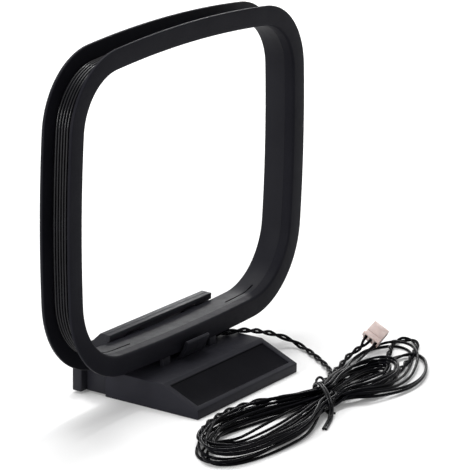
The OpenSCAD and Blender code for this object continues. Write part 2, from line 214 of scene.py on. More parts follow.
def mouldedAbs(name, shade, light, gloss, roughness=0.44):
    # ABS from a spark-eroded mould: satin black, faint cloudiness, dusty scuffs and fine grain
    material, tree = newMaterial(name)
    place = addNode(tree, "ShaderNodeTexCoord").outputs["Object"]
    cloud = addNode(tree, "ShaderNodeTexNoise", {}, {"Vector": place, "Scale": 1 / (14 * mm), "Detail": 3})
    scuff = addNode(tree, "ShaderNodeTexNoise", {}, {
        "Vector": place, "Scale": 1 / (2.2 * mm), "Detail": 5, "Roughness": 0.7})
    # the real grain is about 0.05 mm; it is drawn at 0.35 mm, so that it shows as a faint tooth
    grain = addNode(tree, "ShaderNodeTexNoise", {}, {"Vector": place, "Scale": 1 / (0.35 * mm), "Detail": 2})
    colour = addNode(tree, "ShaderNodeValToRGB", {}, {"Fac": cloud.outputs["Fac"]},
                     [(0.3, shade), (0.7, light)])
    rough = addNode(tree, "ShaderNodeMapRange", {}, {
        "Value": scuff.outputs["Fac"], "From Min": 0.3, "From Max": 0.75,
        "To Min": roughness - 0.05, "To Max": roughness + 0.08})
    bump = addNode(tree, "ShaderNodeBump", {}, {
        "Height": grain.outputs["Fac"], "Strength": 0.12, "Distance": 0.05 * mm})
    shader = addNode(tree, "ShaderNodeBsdfPrincipled", {}, {
        "Base Color": colour.outputs["Color"], "Roughness": rough.outputs["Result"], "IOR": 1.53,
        "Specular IOR Level": gloss, "Normal": bump.outputs["Normal"]})
    addNode(tree, "ShaderNodeOutputMaterial", {}, {"Surface": shader.outputs["BSDF"]})
    return material


def pvcWire(name, shade, light, gloss, roughness):
    # PVC insulation, extruded: smooth and rather glossy black, a little duller where it was handled
    material, tree = newMaterial(name)
    place = addNode(tree, "ShaderNodeTexCoord").outputs["Object"]
    handled = addNode(tree, "ShaderNodeTexNoise", {}, {"Vector": place, "Scale": 1 / (6 * mm), "Detail": 3})
    ripple = addNode(tree, "ShaderNodeTexNoise", {}, {"Vector": place, "Scale": 1 / (0.9 * mm), "Detail": 1})
    colour = addNode(tree, "ShaderNodeValToRGB", {}, {"Fac": handled.outputs["Fac"]},
                     [(0.3, shade), (0.7, light)])
    rough = addNode(tree, "ShaderNodeMapRange", {}, {
        "Value": handled.outputs["Fac"], "From Min": 0.3, "From Max": 0.7,
        "To Min": roughness - 0.06, "To Max": roughness + 0.1})
    bump = addNode(tree, "ShaderNodeBump", {}, {
        "Height": ripple.outputs["Fac"], "Strength": 0.15, "Distance": 0.05 * mm})
    shader = addNode(tree, "ShaderNodeBsdfPrincipled", {}, {
        "Base Color": colour.outputs["Color"], "Roughness": rough.outputs["Result"], "IOR": 1.52,
        "Specular IOR Level": gloss, "Normal": bump.outputs["Normal"]})
    addNode(tree, "ShaderNodeOutputMaterial", {}, {"Surface": shader.outputs["BSDF"]})
    return material


def naturalNylon(name):
    # undyed nylon, moulded: milky and slightly pink, light passes a little way into it
    material, tree = newMaterial(name)
    place = addNode(tree, "ShaderNodeTexCoord").outputs["Object"]
    milky = addNode(tree, "ShaderNodeTexNoise", {}, {"Vector": place, "Scale": 1 / (1.6 * mm), "Detail": 3})
    colour = addNode(tree, "ShaderNodeValToRGB", {}, {"Fac": milky.outputs["Fac"]},
                     [(0.3, "#b6a29d"), (0.7, "#c9b9b4")])
    bump = addNode(tree, "ShaderNodeBump", {}, {
        "Height": milky.outputs["Fac"], "Strength": 0.1, "Distance": 0.08 * mm})
    shader = addNode(tree, "ShaderNodeBsdfPrincipled", {}, {
        "Base Color": colour.outputs["Color"], "Roughness": 0.42, "IOR": 1.53,
        "Subsurface Weight": 0.35, "Subsurface Radius": (1.0, 0.7, 0.6), "Subsurface Scale": 0.8 * mm,
        "Normal": bump.outputs["Normal"]})
    addNode(tree, "ShaderNodeOutputMaterial", {}, {"Surface": shader.outputs["BSDF"]})
    return material


def tinnedBrass(name):
    # stamped brass strip, tin-plated: pale warm metal with fine rolling marks
    material, tree = newMaterial(name)
    place = addNode(tree, "ShaderNodeTexCoord").outputs["Object"]
    marks = addNode(tree, "ShaderNodeTexNoise", {}, {"Vector": place, "Scale": 1 / (0.3 * mm), "Detail": 2})
    colour = addNode(tree, "ShaderNodeValToRGB", {}, {"Fac": marks.outputs["Fac"]},
                     [(0.3, "#b5a982"), (0.7, "#cfc6a8")])
    shader = addNode(tree, "ShaderNodeBsdfPrincipled", {}, {
        "Base Color": colour.outputs["Color"], "Roughness": 0.32, "Metallic": 1.0})
    addNode(tree, "ShaderNodeOutputMaterial", {}, {"Surface": shader.outputs["BSDF"]})
    return material


# the same black ABS as the loop's mouldings, with the stand's copy made lighter: painted light, standing in
# for the light on its sides
standAbsPaintedLight = mouldedAbs("stand_moulded_abs_painted_light", "#1e1e23", "#25252b", 0.07)
# the sunk panel's copy: smoother and less glossy, as the real panel is, with a much darker colour that is
# painted shade
recessAbsPaintedShade = mouldedAbs("stand_recess_smooth_abs_painted_shade", "#0b0b0f", "#101014", 0.015, 0.36)
supportAbs = mouldedAbs("support_moulded_abs", "#1b1b20", "#212126", 0.12)
frontAbs = mouldedAbs("front_frame_moulded_abs", "#17171c", "#1c1c21", 0.03)
rearAbs = mouldedAbs("rear_frame_moulded_abs", "#15151a", "#1a1a1f", 0.07)
windingPvc = pvcWire("winding_pvc_wire", "#0b0b0e", "#111115", 0.26, 0.22)
leadPvc = pvcWire("lead_pvc_wire", "#050508", "#0a0a0e", 0.03, 0.15)
tiePvc = pvcWire("tie_coated_wire", "#07070a", "#0b0b0f", 0.1, 0.2)
plugNylon = naturalNylon("plug_natural_nylon")
contactBrass = tinnedBrass("contact_tinned_brass")
print("materials made")

# the lead

lead = {
    "wireWidth": 0.8,                # one insulated wire
    "overBoth": 1.5,                 # the twisted pair drawn up tight
    "twistApart": 0.98,              # between the two wires' middles, as loosely as they are twisted here
    "lay": 10.4,                     # length of one full twist
    "looseLay": 84,                  # the same where the wires lie slack in the hank
    "looseApart": 1.3,               # between the two wires' middles there
    "fanOut": 0.9, "fanLength": 3,   # how far, and over what length, the wires part at the winding
    "step": 0.62,                    # spacing of the points along the pair
    "shortStep": 0.5,                # the same on the bridge and on the third wire
    "sides": 8, "crease": 60,
}
bridgeRoute = [(-13.2, 4.1, 10.5), (-13.2, 4.1, 9.4), (-12.2, 4.1, 8.7), (-9, 4.1, 8.5), (-2, 4.4, 8.5),
               (6, 4.4, 8.5), (12, 3.6, 8.5), (17, 2.2, 8.5), (18.5, 1.7, 8.5)]
# each point of the lead's route ends in how tightly the pair is twisted there, 1 or 0
runRoute = [(18.5, 1.7, 8.5, 1), (20, 1.2, 8.5, 1), (23.8, -0.8, 8.5, 1), (28, -2, 7.6, 1),
            (32.5, -2.8, 6.2, 1), (36.5, -4, 4.7, 1), (39.5, -5.8, 3.2, 1), (41.5, -8, 1.7, 1),
            (41, -11, 0.9, 1), (38.8, -15, 0.8, 1), (35, -20.4, 0.8, 1), (31, -25.4, 0.9, 1),
            (25.4, -30.4, 1.4, 1), (18.5, -34.6, 2.2, 1), (11, -38.6, 3.0, 0)]
tailRoute = [(14, -34.6, 1.2, 0), (20, -31.8, 1.0, 1), (27, -29.6, 0.8, 1), (33.9, -28, 0.8, 1),
             (40.8, -26.3, 1.4, 1)]
# the plug's third wire, back into the hank
thirdRoute = [(45.5, -28.7, 2.0), (40, -28.6, 1.3), (34, -30.3, 1.0), (27.5, -32.1, 1.0),
              (20, -34.4, 1.5), (15, -36.4, 2.0)]
plug = {
    "at": (50.6, -27.7, 3.8),        # middle of the edge where the wires go in
    "yaw": -7, "pitch": 28, "roll": 34,
    "width": 5, "length": 5.6, "height": 2.8, "pitchOfContacts": 1.65,
    "wireEnd": 0.6,                  # how far the wires are drawn inside it
    "boreWidth": 1.0, "boreHeight": 1.7,         # the contacts' ways through
    "windowFrom": 0.3, "windowTo": 0.65,         # the contacts' windows below, as shares of the length
    "stepLength": 1.5, "stepDepth": 0.4,         # the step on top, at the mouth
    "grooveFrom": 1.5, "grooveTo": 1.68, "grooveDepth": 0.15,
    # the nub on its left side, by the wires
    "nubFrom": 0.15, "nubTo": 0.95, "nubIn": 0.05, "nubOut": 0.5, "nubLow": -0.7, "nubHigh": 0.9,
    "edge": 0.12, "nubEdge": 0.15,
}
hank = {
    "loops": 8,                      # the last one ends half way round, at the back of the waist
    # outline of the left lobe, from the front of the waist round to its back, and of the right lobe on round
    "left": [(-2, -46.6), (-9.1, -49), (-18, -51.2), (-30, -50.8), (-40, -49.4), (-47, -46.6), (-49.8, -42),
             (-48.6, -37.2), (-45, -33.4), (-39.1, -29.8), (-31, -26.6), (-21, -25.4), (-11.9, -27),
             (-2, -31.6)],
    "leftEnd": (-31, -35.4),         # the lobe's spine runs from the waist to here
    "leftWidth": 16,                 # of the band in which the loops change from front to back
    "right": [(11, -36.6), (18.5, -34.6), (27, -34), (34.6, -35.4), (39.4, -38.2), (39.8, -42.2),
              (36, -46.6), (31, -49.4), (25, -50.8), (18, -50.8), (10.6, -48.6)],
    "rightEnd": (30, -42.8),
    "rightWidth": 12,
    # how far out each loop lies between the spine and the outline, at its front and at its back
    "front": [0.94, 0.45, 0.78, 0.1, 0.62, 0.28, 0.99, 0.86],
    "back": [0.55, 1.0, 0.2, 0.86, 0.4, 0.7, 0.08, 0.93],
    # the share left open in a lobe's middle: at the waist, and what is added towards the lobe's end
    "openAtWaist": 0.05, "open": 0.22,
    # the loops that lie loose beyond the right lobe: far, near, and one still twisted
    "far": [(9, -37, 0), (20, -33.6, 0), (32, -30.6, 0), (44, -28.2, 0), (52.6, -27.6, 0), (58.6, -30.4, 0),
            (58.4, -35.6, 0), (53, -40.8, 0), (44, -45.3, 0), (35, -48.2, 0), (24, -49.6, 0), (12, -47.6, 0)],
    "near": [(10, -38, 0), (22, -36.2, 0), (34, -36.2, 0), (44, -37, 0), (51.4, -37.8, 0), (54.8, -40.4, 0),
             (52.4, -45, 0), (45.4, -49.8, 0), (37, -53, 0), (28, -54, 0), (19, -52.6, 0), (12, -49.4, 0)],
    "twisted": [(10, -38, 0), (20, -36.6, 0), (31, -35.8, 1), (43, -35, 1), (50.4, -34, 1), (56.4, -31.2, 1),
                (61, -29.6, 1), (64.6, -30.6, 1), (65, -34, 1), (61, -37.4, 1), (52.6, -40.8, 1),
                (42.9, -43.6, 1), (33, -46.4, 0), (22, -48, 0), (12, -47, 0)],
    "rightRoute": ["far", "", "near", "", "twisted", "", ""],    # what each loop does at the right
    "looseTop": 2.2,                 # height of the loose loops
    "looseFrom": 12, "looseOver": 20,            # where, and over what length, they go to that height
    "twistedPlaces": {1: range(9, 13), 5: range(1, 4)},      # left points where a loop is still twisted
    "waistX": 4.9, "waistY": -40.7, "waistWidth": 12.6, "waistHeight": 4.5, "waistLift": 0.6,
    "waistShare": 5.2,               # from the waist's middle to the outermost loop
    "lowest": 0.5, "layer": 0.68,    # height of the lowest loop, and from one to the next before they settle
    "rises": (0.1, 0.2, 0.6),        # what a loop rises at the left lobe, the waist's back and the right lobe
}
settling = {
    "rounds": 420, "quickRounds": 120,
    "endLength": 52,                 # the tail and the stretch at the plug stay as drawn
    "endOverlap": 10, "fade": 14,
    "apart": 0.86,                   # kept between the middles of two passes
    "lookOut": 0.5, "lookEvery": 12,             # how much further passes are looked for, and how often
    "samePass": 5,                   # points no further along than this are one pass
    "fall": 0.007, "lateFall": 0.002, "lateFrom": 0.7,           # in each round, and from which share of them
    "smoothOver": (1, 5, 10), "smoothing": 0.4,  # points to either side that a point follows, and how closely
    # the pair's least gap when it is slack and what twist adds, as shares, and what slack adds to the most
    "pairLeast": 0.98, "pairFirmer": 0.02, "pairOpens": 1.3,
    "push": 1.2,
    "tieHolds": 1.4, "tieFades": 6.0,            # how far along the hank the tie draws it in
    # the waist's spare width and height at first, and the share of the rounds that it takes to lose them
    "tieFrom": (4, 3), "tieDone": 0.5,
    "floorGap": 0.02,
    "guideSmooths": 6, "wireSmooths": 3, "softening": 0.25,
    "onFloorFrom": 0.02,             # wires that are freer than this are kept above the floor
    "splitLength": 6, "splitPoints": 30, "splitSide": 16,        # where the pair opens into the plug
}


def plugFrame():
    turn = Matrix.Rotation(math.radians(plug["yaw"]), 4, "Z") @ Matrix.Rotation(
        math.radians(-plug["pitch"]), 4, "Y") @ Matrix.Rotation(math.radians(plug["roll"]), 4, "X")
    return Matrix.Translation(Vector(plug["at"])) @ turn


def inPlug(points):                  # plug lengths, widths and heights into the part's frame
    turn = plugFrame()
    return [tuple(turn @ Vector(p)) for p in points]


def easeInOut(share):                # 0 to 1, with no corner at either end
    return share * share * (3 - 2 * share)


def onLobe(outline, end, width, loop):       # one loop's share of a lobe, from the waist out and back
    h = hank
    places = []
    for x, y in outline:
        run = min(abs(x - h["waistX"]) / abs(end[0] - h["waistX"]), 1)
        sx = h["waistX"] + (end[0] - h["waistX"]) * run
        sy = h["waistY"] + (end[1] - h["waistY"]) * run
        turn = easeInOut(min(max((y - sy) / width + 0.5, 0), 1))     # 0 at the front, 1 at the back
        out = h["front"][loop] * (1 - turn) + h["back"][loop] * turn
        least = h["openAtWaist"] + h["open"] * run
        out = least + (1 - least) * out
        places.append((sx + (x - sx) * out, sy + (y - sy) * out))
    return places


def hankGuide():                     # control points of the loops, before they settle
    h = hank
    riseLeft, riseWaist, riseRight = h["rises"]
    points = []
    for loop in range(h["loops"]):
        height = h["lowest"] + h["layer"] * (h["loops"] - 1 - loop)
        points.append((h["waistX"], h["waistY"] - h["waistShare"] * h["front"][loop], height, 0))
        for place, (x, y) in enumerate(onLobe(h["left"], h["leftEnd"], h["leftWidth"], loop)):
            tight = 1 if place in h["twistedPlaces"].get(loop, ()) else 0
            points.append((x, y, height + riseLeft, tight))
        points.append((h["waistX"], h["waistY"] + h["waistShare"] * h["back"][loop], height + riseWaist, 0))
        if loop == h["loops"] - 1:
            break
        name = h["rightRoute"][loop]
        if name:
            for x, y, tight in h[name]:
                share = min(max((x - h["looseFrom"]) / h["looseOver"], 0), 1)
                points.append((x, y, height * (1 - share) + h["looseTop"] * share, tight))
        else:
            lobe = onLobe(h["right"], h["rightEnd"], h["rightWidth"], loop)
            points += [(x, y, height + riseRight, 0) for x, y in lobe]
    return points


def leadGuide():                     # the middle of the pair, and how tightly it is twisted, all along
    pairY = plug["pitchOfContacts"] / 2
    end = inPlug([(-3.6, pairY, -0.1), (-1.6, pairY, 0), (plug["wireEnd"], pairY, 0)])
    middle = curveThrough(runRoute + hankGuide() + tailRoute + [p + (1,) for p in end], lead["step"])
    tight = np.clip(middle[:, 3], 0, 1)
    middle = middle[:, :3]
    for _ in range(settling["guideSmooths"]):    # no corners left at the control points
        middle[1:-1] += settling["softening"] * (middle[:-2] + middle[2:] - 2 * middle[1:-1])
    return middle, tight


def twistedPair(middle, tight, along):       # the two wires, wound round the pair's middle
    rate = 2 * math.pi * (tight / lead["lay"] + (1 - tight) / lead["looseLay"])
    phase = np.cumsum(rate) * (along[1] - along[0])
    heading = unitRows(np.gradient(middle, axis=0))
    side = unitRows(np.cross(heading, (0, 0, 1.0)))
    other = np.cross(side, heading)
    reach = lead["twistApart"] * tight + lead["looseApart"] * (1 - tight)
    offset = reach[:, None] / 2 * (np.cos(phase)[:, None] * side + np.sin(phase)[:, None] * other)
    return np.stack([middle + offset, middle - offset])


def nearPasses(flat, index):         # pairs of points on different passes that lie close to each other
    tree = kdtree.KDTree(len(flat))
    for i, p in enumerate(flat):
        tree.insert(p, i)
    tree.balance()
    one, two = [], []
    for i, p in enumerate(flat):
        for _, j, _ in tree.find_range(p, settling["apart"] + settling["lookOut"]):
            if j > i and abs(index[i] - index[j]) > settling["samePass"]:
                one.append(i)
                two.append(j)
    return np.array(one), np.array(two)


def smoothMoves(wires, start, free):     # what has moved stays a smooth bend away from the start
    moved = wires - start
    for reach in settling["smoothOver"]:
        soft = (moved[:, :-2 * reach] + moved[:, 2 * reach:]) / 2
        moved[:, reach:-reach] += settling["smoothing"] * (soft - moved[:, reach:-reach])
    return start + moved * free[None, :, None]


def holdPair(wires, tight):          # the two wires of the pair stay side by side
    s = settling
    gap = wires[0] - wires[1]
    far = np.linalg.norm(gap, axis=1)
    least = lead["twistApart"] * (s["pairLeast"] + s["pairFirmer"] * tight)
    most = lead["twistApart"] + s["pairOpens"] * (1 - tight)
    fix = (far - np.clip(far, least, most)) / np.maximum(far, tiny)
    wires[0] -= 0.5 * fix[:, None] * gap
    wires[1] += 0.5 * fix[:, None] * gap


def pushApart(flat, one, two, freeOne, freeTwo):     # passes that are too close move off each other
    gap = flat[one] - flat[two]
    far = np.linalg.norm(gap, axis=1)
    short = np.maximum(settling["apart"] - far, 0) / np.maximum(far, tiny)
    push = 0.5 * short[:, None] * gap
    share = freeOne + freeTwo + tiny
    shift = np.zeros_like(flat)
    hits = np.zeros(len(flat))
    np.add.at(shift, one, push * (2 * freeOne / share)[:, None])
    np.add.at(shift, two, -push * (2 * freeTwo / share)[:, None])
    np.add.at(hits, one, short > 0)
    np.add.at(hits, two, short > 0)
    return flat + shift / np.maximum(hits, 1)[:, None] * settling["push"]


def drawInWaist(wires, free, grip):  # grip is 0 at first and 1 when the tie is tight
    s, h = settling, hank
    reach = np.clip(s["tieHolds"] - np.abs(wires[:, :, 0] - h["waistX"]) / s["tieFades"], 0, 1)
    reach = reach * free[None, :]
    spareWide, spareHigh = s["tieFrom"]
    halfWide = h["waistWidth"] / 2 - lead["wireWidth"] / 2 + spareWide * (1 - grip)
    halfHigh = h["waistHeight"] / 2 - lead["wireWidth"] / 2 + spareHigh * (1 - grip)
    dy = (wires[:, :, 1] - h["waistY"]) / halfWide
    dz = (wires[:, :, 2] - h["waistHeight"] / 2 - h["waistLift"]) / halfHigh
    out = np.sqrt(dy * dy + dz * dz)
    pull = np.where(out > 1, 1 - 1 / np.maximum(out, tiny), 0) * reach
    wires[:, :, 1] -= pull * dy * halfWide
    wires[:, :, 2] -= pull * dz * halfHigh


def openIntoPlug(wires, along):      # the pair opens into two of the plug's places
    s = settling
    last = easeInOut(np.clip(1 - (along[-1] - along) / s["splitLength"], 0, 1))[-s["splitPoints"]:, None]
    inOrder = wires[0, -s["splitSide"], 1] < wires[1, -s["splitSide"], 1]
    for k, place in enumerate((0, 1) if inOrder else (1, 0)):
        y = place * plug["pitchOfContacts"]
        straight = np.array(inPlug([
            (plug["wireEnd"] - (along[-1] - a), y, 0) for a in along[-s["splitPoints"]:]]))
        end = wires[k, -s["splitPoints"]:]
        wires[k, -s["splitPoints"]:] = end * (1 - last) + straight * last


def settleLead():
    s = settling
    middle, tight = leadGuide()
    print("lead guide length", round(lengthOf(middle), 1), "points", len(middle))
    along = distancesAlong(middle)
    wires = twistedPair(middle, tight, along)
    start = wires.copy()
    # 0 where the wires stay as drawn, 1 in the hank
    startHank = lengthOf(curveThrough(runRoute, lead["step"]))
    endHank = along[-1] - s["endLength"]
    free = np.clip((along - startHank + s["fade"]) / s["fade"], 0, 1) * np.clip(
        (endHank + s["endOverlap"] - along) / s["fade"], 0, 1)
    index = np.tile(np.arange(len(middle)), 2)
    onFloor = free[None, :] > s["onFloorFrom"]
    lowest = lead["wireWidth"] / 2 + s["floorGap"]
    rounds = s["rounds"]
    for turn in range(rounds):
        if turn % s["lookEvery"] == 0:
            one, two = nearPasses(wires.reshape(-1, 3), index)
        wires[:, :, 2] -= (s["fall"] if turn < rounds * s["lateFrom"] else s["lateFall"]) * free[None, :]
        wires = smoothMoves(wires, start, free)
        holdPair(wires, tight)
        if len(one):
            flat = pushApart(wires.reshape(-1, 3), one, two, free[index[one]], free[index[two]])
            wires = flat.reshape(wires.shape)
        drawInWaist(wires, free, min(turn / (rounds * s["tieDone"]), 1))
        wires[:, :, 2] = np.where(onFloor, np.maximum(wires[:, :, 2], lowest), wires[:, :, 2])
    for _ in range(s["wireSmooths"]):            # the insulation is too stiff for a kink
        wires[:, 1:-1] += s["softening"] * (wires[:, :-2] + wires[:, 2:] - 2 * wires[:, 1:-1])
    openIntoPlug(wires, along)
    return wires


wires = settleLead()


def makeLead():                      # the settled pair and the plug's third wire
    y, wireEnd = -plug["pitchOfContacts"], plug["wireEnd"]
    third = curveThrough(inPlug([(wireEnd, y, 0), (-1.0, y, 0), (-2.6, y * 0.9, -0.1)]) + thirdRoute,
                         lead["shortStep"])
    parts = [tubeMesh(wire, lead["wireWidth"] / 2, lead["sides"]) for wire in (wires[0], wires[1], third)]
    points, faces = joinParts(parts)
    return meshPiece("lead", points, faces, leadPvc, lead["crease"])


leadPiece = makeLead()


def makeBridge():                    # the lead's first stretch, under the loop
    middle = curveThrough(bridgeRoute, lead["shortStep"])
    along = distancesAlong(middle)
    heading = unitRows(np.gradient(middle, axis=0))
    side = unitRows(np.cross(heading, (0, 1.0, 0)))
    other = np.cross(side, heading)
    phase = 2 * math.pi * (along - along[-1]) / lead["lay"]
    spread = lead["fanOut"] * np.clip(1 - along / lead["fanLength"], 0, 1)
    offset = (lead["twistApart"] / 2 + spread)[:, None] * (
        np.cos(phase)[:, None] * other + np.sin(phase)[:, None] * side)
    pair = [middle + offset, middle - offset]
    points, faces = joinParts([tubeMesh(wire, lead["wireWidth"] / 2, lead["sides"]) for wire in pair])
    ends = sorted((tuple(wire[0]) for wire in pair), key=lambda p: p[1])
    return meshPiece("lead_under_loop", points, faces, leadPvc, lead["crease"]), middle, ends


bridgePiece, bridgeMiddle, bridgeEnds = makeBridge()

# the loop's two mouldings

loop = {
    "width": 110,
    "rise": 45.4, "drop": 45.8,      # from its middle up to its top and down to its foot
    "sideRadius": 358, "topRadius": 385, "footRadius": 770, "topCorner": 21.2, "footCorner": 24.5,
    "frontY": -0.8, "middleZ": 55.8, "depth": 9.8,
    "flange": 5.6, "flangeThick": 0.9, "wall": 0.8, "frontDepth": 3, "lap": 1.4, "seamGap": 0.02,
    "rim": 0.32, "lip": 0.7, "seamEdge": 0.03,   # roundings: the rims, the front's inner edge, the seam
    "slitMiddle": 29.9, "slitLength": 13.6, "slitWidth": 0.5, "slitDepth": 4.55,
    "station": 1.25,                 # spacing of the sections round the loop
    "crease": 30,
}
hinge = {
    "y": 10.1, "z": 16.7, "rod": 0.9, "play": 0.05, "rodReach": 23.8, "rodEdge": 0.15,
    "hookX": 13.5, "hookWidth": 5.6, "hookWall": 0.8, "hookEdge": 0.1,
    "hookSunk": 0.3,                 # the root's depth in the moulding
    "hookFoot": 0.6, "hookHeel": 0.5, "hookRoof": 0.1,       # the root's lower corner and upper face
    "hookTip": (15, 28),             # degrees above level, at the outside and the inside
}


def cornerCentre(rise, capRadius, cornerRadius):
    ax, bz = loop["width"] / 2 - loop["sideRadius"], rise - capRadius
    d1, d2 = loop["sideRadius"] - cornerRadius, capRadius - cornerRadius
    gap = math.hypot(ax, bz)
    ex, ez = -ax / gap, bz / gap
    m = (gap * gap + d1 * d1 - d2 * d2) / (2 * gap)
    h = math.sqrt(d1 * d1 - m * m)
    return ax + ex * m - ez * h, ez * m + ex * h


def outlinePlaces(step):             # centre x, centre z, radius and angle, all round the loop
    half, side = loop["width"] / 2, loop["sideRadius"]
    tx, tz = cornerCentre(loop["rise"], loop["topRadius"], loop["topCorner"])
    fx, fz = cornerCentre(loop["drop"], loop["footRadius"], loop["footCorner"])
    top1 = math.degrees(math.atan2(tz, tx - half + side))
    top2 = math.degrees(math.atan2(tz - loop["rise"] + loop["topRadius"], tx))
    foot1 = math.degrees(math.atan2(fz, fx - half + side))
    foot2 = math.degrees(math.atan2(fz - loop["drop"] + loop["footRadius"], fx))
    footZ = loop["footRadius"] - loop["drop"]
    arcs = [(0, footZ, loop["footRadius"], 270, 360 - foot2),
            (fx, -fz, loop["footCorner"], 360 - foot2, 360 - foot1),
            (half - side, 0, side, 360 - foot1, 360 + top1),
            (tx, tz, loop["topCorner"], top1, top2),
            (0, loop["rise"] - loop["topRadius"], loop["topRadius"], top2, 180 - top2),
            (-tx, tz, loop["topCorner"], 180 - top2, 180 - top1),
            (side - half, 0, side, 180 - top1, 180 + foot1),
            (-fx, -fz, loop["footCorner"], 180 + foot1, 180 + foot2),
            (0, footZ, loop["footRadius"], 180 + foot2, 270)]
    places = []
    for x, z, radius, start, end in arcs:
        count = max(2, math.ceil(radius * math.radians(end - start) / step))
        places += [(x, z, radius, math.radians(start + (end - start) * i / count)) for i in range(count)]
    return places


def ringPoint(place, inset):
    x, z, radius, angle = place
    reach = radius - inset
    return x + reach * math.cos(angle), loop["middleZ"] + z + reach * math.sin(angle)


def arcPoints(x, y, radius, start, end, steps):
    angles = [math.radians(start + (end - start) * i / steps) for i in range(steps + 1)]
    return [(x + radius * math.cos(angle), y + radius * math.sin(angle)) for angle in angles]


def roundLoop(section, slits=None):  # a section of inset and depth, carried round the outline
    places = outlinePlaces(loop["station"])
    count, size = len(places), len(section)
    points, faces = [], []
    for place in places:
        for inset, depth in section:
            x, z = ringPoint(place, inset)
            points.append((x, loop["frontY"] + depth, z))
    openHere = [False] * count
    if slits:
        near, far, back, front = slits           # its corners in the section, inside and in the channel
        for i, place in enumerate(places):
            x, z = ringPoint(place, loop["flange"])
            openHere[i] = (z < loop["middleZ"] and abs(abs(x) - loop["slitMiddle"]) < loop["slitLength"] / 2)
    for i in range(count):
        a, b = i * size, (i + 1) % count * size
        for j in range(size):
            k = (j + 1) % size
            if slits and openHere[i] and j in (near, back):
                continue
            faces.append((a + j, a + k, b + k, b + j))
        if slits and openHere[i]:
            faces.append((a + near, b + near, b + front, a + front))
            faces.append((a + far, a + back, b + back, b + far))
            if not openHere[i - 1]:
                faces.append((a + near, a + front, a + back, a + far))
            if not openHere[(i + 1) % count]:
                faces.append((b + near, b + far, b + back, b + front))
    return points, faces


def oblong(y0, z0, y1, z1):
    return [(y0, z0), (y0, z1), (y1, z1), (y1, z0)]


def prism(profile, x0, x1):          # a profile of Y and Z, drawn out along X
    size = len(profile)
    points = [(x, y, z) for x in (x0, x1) for y, z in profile]
    faces = [tuple(range(size)), tuple(range(size, 2 * size))]
    faces += [(j, (j + 1) % size, size + (j + 1) % size, size + j) for j in range(size)]
    return points, faces


def bakeModifiers(obj):              # the finished shape becomes the piece's plain mesh
    shape = obj.evaluated_get(bpy.context.evaluated_depsgraph_get())
    mesh = bpy.data.meshes.new_from_object(shape)
    obj.modifiers.clear()
    obj.data = mesh
    return obj


roundedCrease = 36                   # degrees, on pieces with rounded edges


def roundEdges(obj, width, segments=2, angle=35):    # every edge that turns by more than the angle
    bevel = obj.modifiers.new("edges", "BEVEL")
    bevel.width = width * mm
    bevel.segments = segments
    bevel.limit_method = "ANGLE"
    bevel.angle_limit = math.radians(angle)
    bakeModifiers(obj)
    smoothByAngle(obj, roundedCrease)
    return obj


def cutAway(obj, tools):             # tools are lists of (points, faces)
    for points, faces in tools:
        tool = meshPiece("tool", points, faces, obj.data.materials[0])
        cut = obj.modifiers.new("cut", "BOOLEAN")
        cut.operation = "DIFFERENCE"
        cut.solver = "EXACT"
        cut.object = tool
        bpy.context.view_layer.update()
        bakeModifiers(obj)
        bpy.data.objects.remove(tool)
    return obj


def joinPieces(name, pieces):        # several finished meshes as one piece
    bm = bmesh.new()
    for piece in pieces:
        bm.from_mesh(piece.data)
    mesh = bpy.data.meshes.new(name)
    bm.to_mesh(mesh)
    bm.free()
    for material in pieces[0].data.materials:
        mesh.materials.append(material)
    obj = bpy.data.objects.new(name, mesh)
    bpy.context.scene.collection.objects.link(obj)
    for piece in pieces:
        bpy.data.objects.remove(piece)
    return obj


def makeFrontFrame():
    inner, wall, rim, lip = loop["flange"], loop["wall"], loop["rim"], loop["lip"]
    channel, lapIn, edge = inner - wall, inner - wall / 2, loop["seamEdge"]
    depth, thick = loop["frontDepth"], loop["flangeThick"]
    section = arcPoints(rim, rim, rim, 180, 270, 4) + arcPoints(inner - lip, lip, lip, 270, 360, 6)
    section += [(inner, depth - edge), (inner - edge, depth), (lapIn, depth), (lapIn, depth + loop["lap"]),
                (channel, depth + loop["lap"]), (channel, thick), (rim / 2, thick), (0, thick - rim / 2)]
    points, faces = roundLoop(section)
    return meshPiece("front_moulding", points, faces, frontAbs, loop["crease"])


def hookProfile():                   # a root in the moulding, then under the rod and up behind it
    y, z = hinge["y"], hinge["z"]
    bore = hinge["rod"] + hinge["play"]
    outer = bore + hinge["hookWall"]
    root = loop["frontY"] + loop["depth"] - hinge["hookSunk"]
    foot, roof = z - outer - hinge["hookFoot"], z - bore - hinge["hookRoof"]
    tipOut, tipIn = hinge["hookTip"]
    return ([(root, foot), (y - hinge["hookHeel"], foot)] + arcPoints(y, z, outer, -80, tipOut, 10)
            + arcPoints(y, z, bore, tipIn, -90, 12) + [(y, roof), (root, roof)])


def makeRearFrame():
    inner, wall, rim, edge = loop["flange"], loop["wall"], loop["rim"], loop["seamEdge"]
    channel, lapIn, depth, thick = inner - wall, inner - wall / 2, loop["depth"], loop["flangeThick"]
    seam = loop["frontDepth"] + loop["seamGap"]
    slit1, slit2 = loop["slitDepth"], loop["slitDepth"] + loop["slitWidth"]
    section = [(inner - edge, seam), (inner, seam + edge), (inner, slit1), (inner, slit2)]
    section += arcPoints(inner - rim, depth - rim, rim, 0, 90, 4)
    section += arcPoints(rim, depth - rim, rim, 90, 180, 4)
    section += [(0, depth - thick + rim / 2), (rim / 2, depth - thick), (channel, depth - thick)]
    back = len(section)
    section += [(channel, slit2), (channel, slit1), (channel, seam + loop["lap"]),
                (lapIn + loop["seamGap"], seam + loop["lap"]), (lapIn + loop["seamGap"], seam)]
    points, faces = roundLoop(section, (2, 3, back, back + 1))
    pieces = [meshPiece("rear_moulding_ring", points, faces, rearAbs, loop["crease"])]
    half = hinge["hookWidth"] / 2
    for x in (-hinge["hookX"], hinge["hookX"]):
        hook = meshPiece("hook", *prism(hookProfile(), x - half, x + half), rearAbs)
        pieces.append(roundEdges(hook, hinge["hookEdge"]))
    return joinPieces("rear_moulding", pieces)


